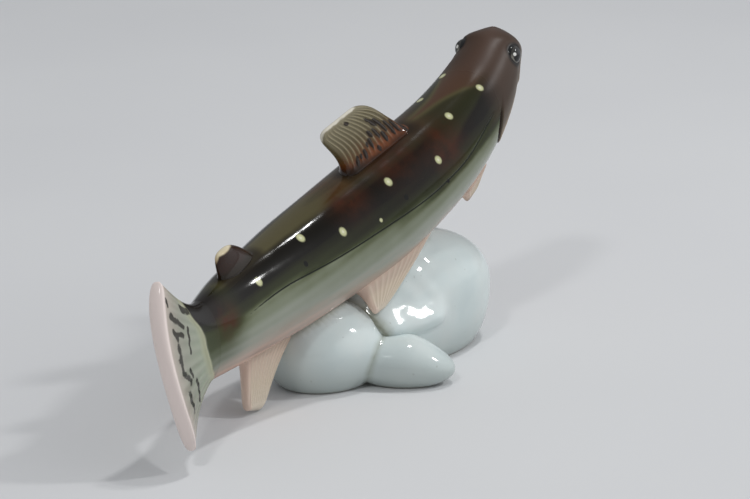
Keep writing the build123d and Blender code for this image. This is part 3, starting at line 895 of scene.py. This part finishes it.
def make_fin(name, form, side, node, material):
    """Plate with rays that stands on the skin and swells into a fillet at its root."""
    height = form["height"]
    share = np.linspace(-FIN_ROOT_SINK / height, 1, FIN_ROWS)
    chordwise = np.cos(np.linspace(0, math.pi, FIN_COLUMNS))
    face = np.concatenate([np.full(FIN_COLUMNS, 1.0), np.full(FIN_COLUMNS - 2, -1.0)])
    chordwise = np.concatenate([chordwise, chordwise[-2:0:-1]])
    sweep = np.maximum(share, 0)
    off_skin = share * height
    thick = form["thickness"][0] + (form["thickness"][1] - form["thickness"][0]) * sweep
    corner = 1 - np.sqrt(1 - sweep ** form.get("corner_power", FIN_CORNER_POWER))
    tip_length = form["tip"][1] - form["tip"][0] - form["thickness"][1]
    corner *= form.get("corner_share", FIN_CORNER_SHARE) * tip_length
    fillet = np.exp(-np.maximum(off_skin, 0) / FIN_FILLET)
    notch = form.get("notch", (0, 0))
    hollow = 4 * sweep * (1 - sweep)
    front = form["root"][0] + (form["tip"][0] - form["root"][0]) * sweep + corner + notch[0] * hollow
    rear = form["root"][1] + (form["tip"][1] - form["root"][1]) * sweep - corner - notch[1] * hollow
    splay = math.radians(form["splay_angle"])
    root_angle = form["root_angle"] if side == RIGHT else 180 - form["root_angle"]
    ends = []
    for distance, reach in ((front, form.get("front_reach", 1)), (rear, 1)):
        _, right, back, _ = frames(distance)
        outward = right * side * math.cos(splay) + back * math.sin(splay)
        foot = skin_points(distance, np.full(FIN_ROWS, root_angle))
        ends.append(foot + outward * off_skin[:, None] * reach)
    chord = ends[0] - ends[1]
    length = np.linalg.norm(chord, axis=-1) + FIN_FILLET_LENGTH * fillet
    ahead = unit(chord)
    square = outward - ahead * (outward * ahead).sum(axis=-1, keepdims=True)
    across = np.cross(unit(square), ahead)

    round_over = np.clip((off_skin - (height - thick / 2)) / (thick / 2), 0, 1)
    half_thick = thick / 2 * (1 + FIN_FILLET_SWELL * fillet)
    along = length[:, None] / 2 * chordwise
    past = np.clip((np.abs(along) - (length[:, None] / 2 - half_thick[:, None])) / half_thick[:, None], 0, 1)
    plate = np.sqrt(1 - past**2)
    if form.get("lens"):
        plate = np.sqrt(np.maximum(1 - chordwise**2, 0))
    profile = half_thick[:, None] * plate * np.sqrt(1 - FIN_RIM_ROUND * round_over[:, None] ** 2)
    rearward = (1 - chordwise) / 2
    rows = np.broadcast_to(sweep[:, None], profile.shape)
    rearward = np.broadcast_to(rearward, profile.shape)
    ray_place = rearward + form["bow"] * 4 * rows * (1 - rows)
    ray = (0.5 + 0.5 * np.cos(2 * math.pi * form["rays"] * ray_place)) ** 2
    ray_fade = between(rows, *FIN_RAYS_UP) * between(rearward, *FIN_RAYS_BACK)
    profile = profile + form["ray_rise"] * (ray - FIN_RAY_LEVEL) * ray_fade
    middle = (ends[0] + ends[1])[:, None, :] / 2
    points = middle + ahead[:, None, :] * along[..., None] + across[:, None, :] * (face * profile)[..., None]

    to_rear = length[:, None] / 2 + along
    to_top = np.broadcast_to((height - off_skin)[:, None], profile.shape)
    spots = np.full(profile.shape, FAR)
    for place, level, radius in form.get("dots", ()):
        behind = (rearward - place) * length[:, None]
        spots = np.minimum(spots, np.hypot(behind, (rows - level) * height) / radius)
    streak = np.zeros(profile.shape)
    for place, low, high in form.get("streaks", ()):
        beside = bump(ray_place - place, 0.5 / form["rays"])
        streak = np.maximum(streak, beside * between(rows, low + FIN_STREAK_START, high + FIN_STREAK_END))
    marks = {
        "height": rows,
        "rearward": rearward,
        "ray": ray * ray_fade,
        "rear": to_rear,
        "rim": np.minimum(to_top, to_rear + FIN_RIM_LEAN * (1 - rows)),
        "dots": spots,
        "streak": streak,
        "tint": rise(rows, *FIN_TINT_UP) * rise(rearward, *FIN_TINT_BACK) * form.get("tip_tint", 0),
    }
    make_piece(name, points, (node,), material, marks)


def eye_socket(side):
    """Point on the skin under an eye, and the direction in which the eye looks."""
    socket = skin_points(EYE_AT, EYE_ANGLE if side == RIGHT else 180 - EYE_ANGLE)
    return socket, unit(socket - frames(EYE_AT)[0])


def make_eye(name, side, node, material):
    """Domed bead sunk into the side of the head."""
    socket, outward = eye_socket(side)
    ahead = frames(EYE_AT)[3]
    first = unit(np.cross(outward, ahead))
    second = np.cross(outward, first)
    turn, round_angle = np.meshgrid(
        np.linspace(*EYE_TURNS, EYE_ROWS), 360 * np.arange(EYE_COLUMNS) / EYE_COLUMNS, indexing="ij"
    )
    tilt = np.radians(turn)[..., None]
    spin = np.radians(round_angle)[..., None]
    direction = outward * np.cos(tilt) + (first * np.cos(spin) + second * np.sin(spin)) * np.sin(tilt)
    points = socket - outward * EYE_SINK + direction * EYE_RADIUS
    back = frames(EYE_AT)[2]
    crownward = unit(back - outward * (back @ outward))
    highlight_out, highlight_ahead, highlight_up = EYE_PAINTED_HIGHLIGHT
    painted_highlight = unit(outward * highlight_out + ahead * highlight_ahead + crownward * highlight_up)
    # Angle from the direction of the painted highlight
    from_painted_highlight = np.degrees(np.arccos(np.clip(direction @ painted_highlight, -1, 1)))
    marks = {"turn": turn, "rearward": -(direction * ahead).sum(axis=-1), "painted_highlight": from_painted_highlight}
    make_piece(name, points, (node,), material, marks)


def stone_forms():
    """Points of each stone before it is joined to its neighbours."""
    forms = {}
    for node, form in (("large_boulder", LARGE), ("middle_boulder", MIDDLE)):
        seat = skin_points(form["at"], -90)
        forms[node] = egg_points(seat + form["shift"], seat[2] + form["sink"], form)
    centre = skin_points(LARGE["at"], -90) + LARGE["shift"] + PEBBLE["shift"]
    pebble = egg_points(centre, PEBBLE["height"], PEBBLE)
    turn = math.radians(PEBBLE["turn"])
    outward = (pebble - centre) @ np.array((math.cos(turn), math.sin(turn), 0))
    pebble[..., 2] *= 1 - PEBBLE_TAPER * rise(outward / PEBBLE["half"][0], *PEBBLE_TAPER_STARTS)
    forms["front_pebble"] = pebble
    return forms


def egg_points(centre, height, form):
    """Egg that stands on a flat foot, as a grid of points from its crown to its foot."""
    half = form["half"]
    waist = height * form["widest_at"]
    climb = np.linspace(math.pi / 2 - STONE_CROWN_GAP, 0, STONE_CROWN_ROWS)
    down = np.linspace(0, 1, STONE_FLANK_ROWS)[1:]
    level = np.concatenate([waist + (height - waist) * np.sin(climb), waist * (1 - down)])
    reach = np.concatenate([np.cos(climb), 1 - (1 - form["foot"]) * down**2])
    reach = reach - STONE_FOOT_ROUND / half[0] * np.exp(-level / STONE_FOOT_ROUND)
    reach, spin = np.meshgrid(reach, 2 * math.pi * np.arange(STONE_COLUMNS) / STONE_COLUMNS, indexing="ij")
    x = half[0] * reach * np.cos(spin)
    y = half[1] * reach * np.sin(spin)
    turn = math.radians(form["turn"])
    cosine = math.cos(turn)
    sine = math.sin(turn)
    level = np.broadcast_to(level[:, None], x.shape)
    return np.stack([centre[0] + x * cosine - y * sine, centre[1] + x * sine + y * cosine, level], axis=-1)


def gap_to(points, others):
    """Distance of each point of a grid from the nearest of the other points."""
    tree = KDTree(len(others))
    for index, place in enumerate(others):
        tree.insert(place, index)
    tree.balance()
    return np.array([tree.find(place)[2] for place in points.reshape(-1, 3)]).reshape(points.shape[:2])


def make_stone(node, forms, body_points, material):
    """Smooth stone that swells towards its neighbours, as clay that was joined with slip."""
    points = forms[node]
    normals = grid_normals(points)
    middle = points.reshape(-1, 3).mean(axis=0)
    normals = normals * np.sign(((points - middle) * normals).sum(axis=-1, keepdims=True))
    others = [form[::2, ::2].reshape(-1, 3) for other, form in forms.items() if other != node]
    gap = gap_to(points, np.concatenate([body_points, *others]))
    lumps = ripples(points, STONE_WAVES) / len(STONE_WAVES)
    off_floor = rise(points[..., 2], *STONE_FOOT_FADE)
    swell = STONE_FILLET * np.exp(-gap / STONE_FILLET_REACH) + STONE_LUMPS * lumps
    if node == "large_boulder":
        slip = np.exp(-gap_to(points, forms["front_pebble"][::2, ::2].reshape(-1, 3)) / SLIP_REACH)
        swell = swell + slip * SLIP_SWELL
        offset = points - LEDGE_AT
        level_way = unit(np.cross(UPRIGHT, LEDGE_FACES))
        facing = (normals * LEDGE_FACES).sum(axis=-1)
        out = (LEDGE_OUT - offset @ LEDGE_FACES) / np.maximum(facing, LEDGE_FACING[0]) - swell
        out = (out + np.hypot(out, LEDGE_SOFTNESS)) / 2
        window = 1 - rise(np.abs(offset @ level_way), *LEDGE_HALF_LENGTH)
        window = window * (1 - rise(-offset[..., 2], *LEDGE_DROP)) * rise(facing, *LEDGE_FACING)
        swell = swell + window * (out + LEDGE_RIPPLE * ripples(points, LEDGE_WAVES))
    points = points + normals * (swell * off_floor)[..., None]
    marks = {"crease": gap, "foot": points[..., 2]}
    make_piece(f"stone_{node}", points, (node,), material, marks)


def make_stage():
    """Plain pale floor."""
    corners = [(x * FLOOR_HALF, y * FLOOR_HALF, 0) for x, y in ((-1, -1), (1, -1), (1, 1), (-1, 1))]
    mesh = bpy.data.meshes.new("floor")
    mesh.from_pydata(corners, [], [(0, 1, 2, 3)])
    paper = Glaze("floor_paper")
    grain = paper.node("ShaderNodeTexNoise", (("Scale", FLOOR_GRAIN),)).outputs["Fac"]
    paper.feed(paper.shader.inputs["Base Color"], paper.ramp(grain, FLOOR_COLOURS))
    paper.feed(paper.shader.inputs["Roughness"], FLOOR_ROUGHNESS)
    mesh.materials.append(paper.material)
    floor = bpy.data.objects.new("floor", mesh)
    bpy.context.scene.collection.objects.link(floor)


def make_lamp(name, place, size, power):
    """Rectangular lamp that faces the object; place and size in metres."""
    light = bpy.data.lights.new(name, "AREA")
    light.shape = "RECTANGLE"
    light.size, light.size_y = size
    light.energy = power
    lamp = bpy.data.objects.new(name, light)
    lamp.location = place
    lamp.rotation_euler = (LAMP_TARGET - Vector(place)).to_track_quat("-Z", "Y").to_euler()
    bpy.context.scene.collection.objects.link(lamp)


def make_light():
    """Soft dome, brightest overhead and towards the window, and small lamps that glint in the glaze."""
    for name, place, size, power in LAMPS:
        make_lamp(name, place, size, power)
    world = bpy.data.worlds.new("studio")
    world.use_nodes = True
    nodes = world.node_tree.nodes
    links = world.node_tree.links
    place = nodes.new("ShaderNodeTexCoord").outputs["Generated"]
    strength = nodes.new("ShaderNodeMath")
    for index, (towards, low, faint, bright) in enumerate(DOME):
        aim = nodes.new("ShaderNodeVectorMath")
        aim.operation = "DOT_PRODUCT"
        aim.inputs[1].default_value = Vector(towards).normalized()
        climb = nodes.new("ShaderNodeMapRange")
        climb.interpolation_type = "SMOOTHSTEP"
        climb.inputs["From Min"].default_value = low
        climb.inputs["To Min"].default_value = faint
        climb.inputs["To Max"].default_value = bright
        links.new(place, aim.inputs[0])
        links.new(aim.outputs["Value"], climb.inputs["Value"])
        links.new(climb.outputs["Result"], strength.inputs[index])
    links.new(strength.outputs[0], nodes["Background"].inputs["Strength"])
    nodes["Background"].inputs["Color"].default_value = DOME_COLOUR
    bpy.context.scene.world = world


def make_camera():
    """Camera at the photograph's place."""
    data = bpy.data.cameras.new("camera")
    data.lens = CAMERA_LENS
    data.sensor_width = CAMERA_SENSOR
    data.clip_start = CAMERA_CLIP_START
    camera = bpy.data.objects.new("camera", data)
    place = Vector(CAMERA_PLACE) * METRES
    camera.location = place
    camera.rotation_euler = (Vector(CAMERA_TARGET) * METRES - place).to_track_quat("-Z", "Y").to_euler()
    bpy.context.scene.collection.objects.link(camera)
    bpy.context.scene.camera = camera


bpy.context.scene.view_settings.view_transform = "Standard"
body_points = make_body(trout_glaze())
make_tail(tail_glaze())
make_fin("trout_dorsal", DORSAL, RIGHT, "dorsal_fin", dorsal_glaze())
make_fin("trout_adipose", ADIPOSE, RIGHT, "adipose_fin", adipose_glaze())
fin_material = belly_fin_glaze()
make_fin("trout_anal", ANAL, RIGHT, "anal_fin", fin_material)
eye_material = eye_glaze()
for side, word in ((LEFT, "left"), (RIGHT, "right")):
    for kind, form in (("pelvic", PELVIC), ("pectoral", PECTORAL)):
        make_fin(f"trout_{word}_{kind}", form, side, f"{word}_{kind}_fin", fin_material)
    make_eye(f"trout_{word}_eye", side, f"{word}_eye", eye_material)
forms = stone_forms()
stone_material = stone_glaze()
skin_sample = body_points[::3, ::4].reshape(-1, 3)
for node in forms:
    make_stone(node, forms, skin_sample, stone_material)
make_stage()
make_light()
make_camera()
